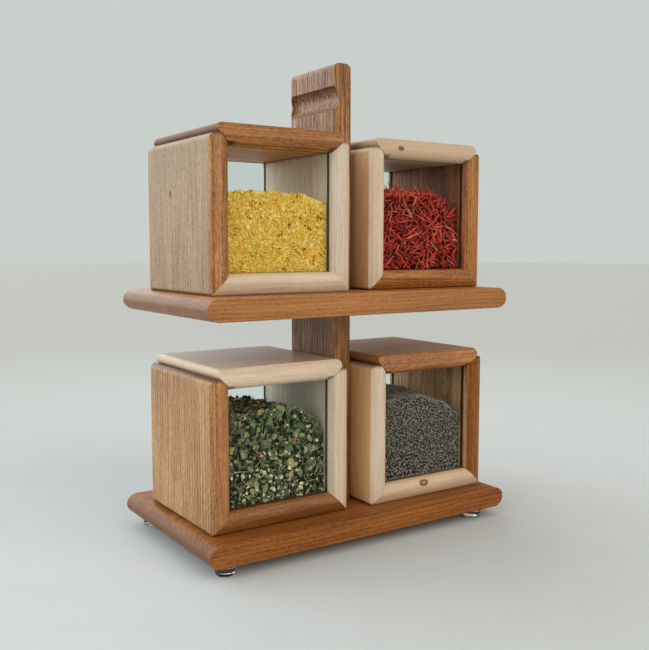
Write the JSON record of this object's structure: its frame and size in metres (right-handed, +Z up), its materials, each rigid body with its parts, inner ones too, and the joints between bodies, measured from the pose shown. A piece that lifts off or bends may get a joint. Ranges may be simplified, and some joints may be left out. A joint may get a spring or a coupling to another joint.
{
  "type": "spice stand",
  "caption": "Two-tier wooden stand with a carrying post and clear feet, holding glass-fronted mitred spice boxes with lift-off lids.",
  "frame": {"origin": "on the table, under the middle of the two shelves", "axes": "+Z up along the post, +X to the right and -Y to the front, where the boxes show their moulded frames as placed"},
  "size_m": [0.3, 0.165, 0.399],
  "materials": {
    "oak": "oiled orange-brown oak, straight grain with dark pores",
    "oak_red": "oiled reddish-brown board",
    "ash": "oiled pale cream board, fine grain, small knots",
    "glass": "clear float glass, 2 mm",
    "clear_plastic": "clear polyurethane bumper",
    "screw_metal": "yellow zinc-plated wood screw",
    "spice_yellow": "loose yellow crumbs",
    "spice_red": "loose dry red threads",
    "spice_green": "loose dried green leaf flakes",
    "spice_black": "loose grey-black seeds"
  },
  "bodies": {
    "stand": {"base_shelf": "oak", "upper_shelf": "oak", "post": "oak", "post_screws": "screw_metal", "foot_front_left": "clear_plastic", "foot_front_right": "clear_plastic", "foot_rear_left": "clear_plastic", "foot_rear_right": "clear_plastic"},
    "upper_left_box": {"upper_left_left_side": "oak", "upper_left_right_side": "ash", "upper_left_floor": "ash", "upper_left_front_glass": "glass", "upper_left_rear_glass": "glass", "upper_left_spice": "spice_yellow"},
    "upper_left_lid": {"upper_left_lid": "oak"},
    "upper_right_box": {"upper_right_left_side": "ash", "upper_right_right_side": "oak", "upper_right_floor": "oak", "upper_right_front_glass": "glass", "upper_right_rear_glass": "glass", "upper_right_spice": "spice_red"},
    "upper_right_lid": {"upper_right_lid": "ash"},
    "lower_left_box": {"lower_left_left_side": "oak", "lower_left_right_side": "ash", "lower_left_floor": "oak_red", "lower_left_front_glass": "glass", "lower_left_rear_glass": "glass", "lower_left_spice": "spice_green"},
    "lower_left_lid": {"lower_left_lid": "ash"},
    "lower_right_box": {"lower_right_left_side": "ash", "lower_right_right_side": "oak", "lower_right_floor": "ash", "lower_right_front_glass": "glass", "lower_right_rear_glass": "glass", "lower_right_spice": "spice_black"},
    "lower_right_lid": {"lower_right_lid": "oak"}
  },
  "joints": [
    {"name": "upper_left_box_lift", "type": "slide", "parent": "stand", "child": "upper_left_box", "axis": [0, 0, 1], "range_m": [0, 0.2]},
    {"name": "upper_left_lid_lift", "type": "slide", "parent": "upper_left_box", "child": "upper_left_lid", "axis": [0, 0, 1], "range_m": [0, 0.06]},
    {"name": "upper_right_box_lift", "type": "slide", "parent": "stand", "child": "upper_right_box", "axis": [0, 0, 1], "range_m": [0, 0.2]},
    {"name": "upper_right_lid_lift", "type": "slide", "parent": "upper_right_box", "child": "upper_right_lid", "axis": [0, 0, 1], "range_m": [0, 0.06]},
    {"name": "lower_left_box_draw", "type": "slide", "parent": "stand", "child": "lower_left_box", "axis": [0, -1, 0], "range_m": [0, 0.17]},
    {"name": "lower_left_lid_lift", "type": "slide", "parent": "lower_left_box", "child": "lower_left_lid", "axis": [0, 0, 1], "range_m": [0, 0.03]},
    {"name": "lower_right_box_draw", "type": "slide", "parent": "stand", "child": "lower_right_box", "axis": [0, -1, 0], "range_m": [0, 0.17]},
    {"name": "lower_right_lid_lift", "type": "slide", "parent": "lower_right_box", "child": "lower_right_lid", "axis": [0, 0, 1], "range_m": [0, 0.03]}
  ]
}
